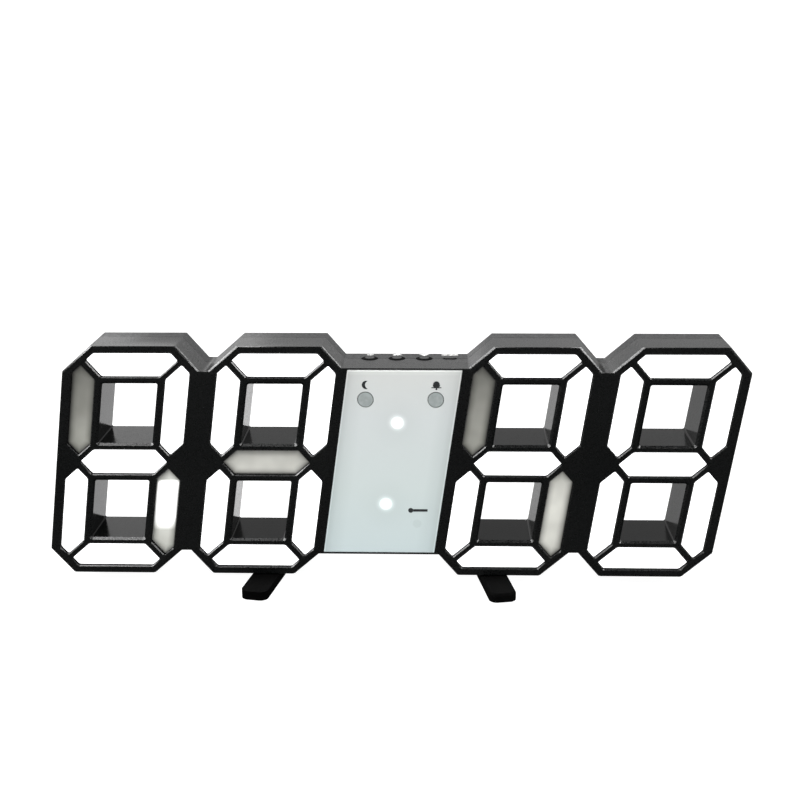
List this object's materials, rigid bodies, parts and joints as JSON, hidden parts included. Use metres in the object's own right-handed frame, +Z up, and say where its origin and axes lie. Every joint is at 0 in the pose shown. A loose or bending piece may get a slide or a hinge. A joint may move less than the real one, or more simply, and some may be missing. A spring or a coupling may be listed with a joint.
{
  "type": "digital clock",
  "caption": "Standing or wall-hung digital clock with leaning see-through figure-of-eight digits, a milky centre panel, push buttons on top and swivel feet.",
  "frame": {"origin": "on the table, under the middle of the clock's bounding box", "axes": "+X to the viewer's right along the row of digits, +Y to the back, +Z up; the display looks along -Y"},
  "size_m": [0.2148, 0.0448, 0.077],
  "materials": {
    "shell_black": "fine satin moulded ABS",
    "panel_white": "glossy translucent acrylic",
    "box_white": "moulded white ABS",
    "light_pipe": "frosted acrylic rod",
    "diffuser_milky": "milky polycarbonate",
    "board_green": "solder-masked glass epoxy",
    "lamp_white": "phosphor-coated white lamp",
    "part_black": "moulded epoxy and nylon",
    "metal_bright": "plated steel",
    "contact_brass": "bright spring brass",
    "socket_cream": "moulded nylon",
    "cable_white": "flat flexible cable",
    "button_black": "satin moulded ABS",
    "pad_rubber": "matt rubber"
  },
  "bodies": {
    "clock_body": {"front_frame": "shell_black", "rear_cover": "shell_black", "face_panel": "panel_white", "panel_light_box": "box_white", "indicator_light_pipes": "light_pipe", "colon_light_pipes": "light_pipe", "main_board": "board_green", "main_board_leds": "lamp_white", "clock_chip": "part_black", "crystal": "metal_bright", "buzzer": "part_black", "thermistor": "part_black", "power_jack": "part_black", "cell_holder": "part_black", "cell_contact": "contact_brass", "coin_cell": "metal_bright", "link_sockets": "socket_cream", "board_links": "cable_white", "switch_housings": "part_black", "case_screws": "metal_bright", "board_screws": "metal_bright", "foot_screws": "metal_bright", "foot_washers": "metal_bright", "digit_1_diffusers": "diffuser_milky", "digit_1_reflector": "box_white", "digit_1_board": "board_green", "digit_1_leds": "lamp_white", "digit_2_diffusers": "diffuser_milky", "digit_2_reflector": "box_white", "digit_2_board": "board_green", "digit_2_leds": "lamp_white", "digit_3_diffusers": "diffuser_milky", "digit_3_reflector": "box_white", "digit_3_board": "board_green", "digit_3_leds": "lamp_white", "digit_4_diffusers": "diffuser_milky", "digit_4_reflector": "box_white", "digit_4_board": "board_green", "digit_4_leds": "lamp_white"},
    "left_foot": {"left_foot": "shell_black", "left_foot_pads": "pad_rubber"},
    "right_foot": {"right_foot": "shell_black", "right_foot_pads": "pad_rubber"},
    "battery_door": {"battery_door": "shell_black"},
    "set_button": {"set_button": "button_black", "set_plunger": "socket_cream"},
    "up_button": {"up_button": "button_black", "up_plunger": "socket_cream"},
    "down_button": {"down_button": "button_black", "down_plunger": "socket_cream"},
    "mode_button": {"mode_button": "button_black", "mode_plunger": "socket_cream"}
  },
  "joints": [
    {"name": "set_press", "type": "slide", "parent": "clock_body", "child": "set_button", "axis": [0, 0, -1], "range_m": [0, 0.0005], "stiffness_N_per_m": 500, "springref_m": -0.0006},
    {"name": "up_press", "type": "slide", "parent": "clock_body", "child": "up_button", "axis": [0, 0, -1], "range_m": [0, 0.0005], "stiffness_N_per_m": 500, "springref_m": -0.0006},
    {"name": "down_press", "type": "slide", "parent": "clock_body", "child": "down_button", "axis": [0, 0, -1], "range_m": [0, 0.0005], "stiffness_N_per_m": 500, "springref_m": -0.0006},
    {"name": "mode_press", "type": "slide", "parent": "clock_body", "child": "mode_button", "axis": [0, 0, -1], "range_m": [0, 0.0005], "stiffness_N_per_m": 500, "springref_m": -0.0006},
    {"name": "left_foot_swivel", "type": "hinge", "parent": "clock_body", "child": "left_foot", "pos_m": [-0.0374, 0.00495, 0.0034], "axis": [0, 0, 1], "range_deg": [-80, 0]},
    {"name": "right_foot_swivel", "type": "hinge", "parent": "clock_body", "child": "right_foot", "pos_m": [0.0297, 0.00495, 0.0034], "axis": [0, 0, 1], "range_deg": [0, 80]},
    {"name": "battery_door_lift", "type": "slide", "parent": "clock_body", "child": "battery_door", "axis": [0, 1, 0], "range_m": [0, 0.012]}
  ]
}
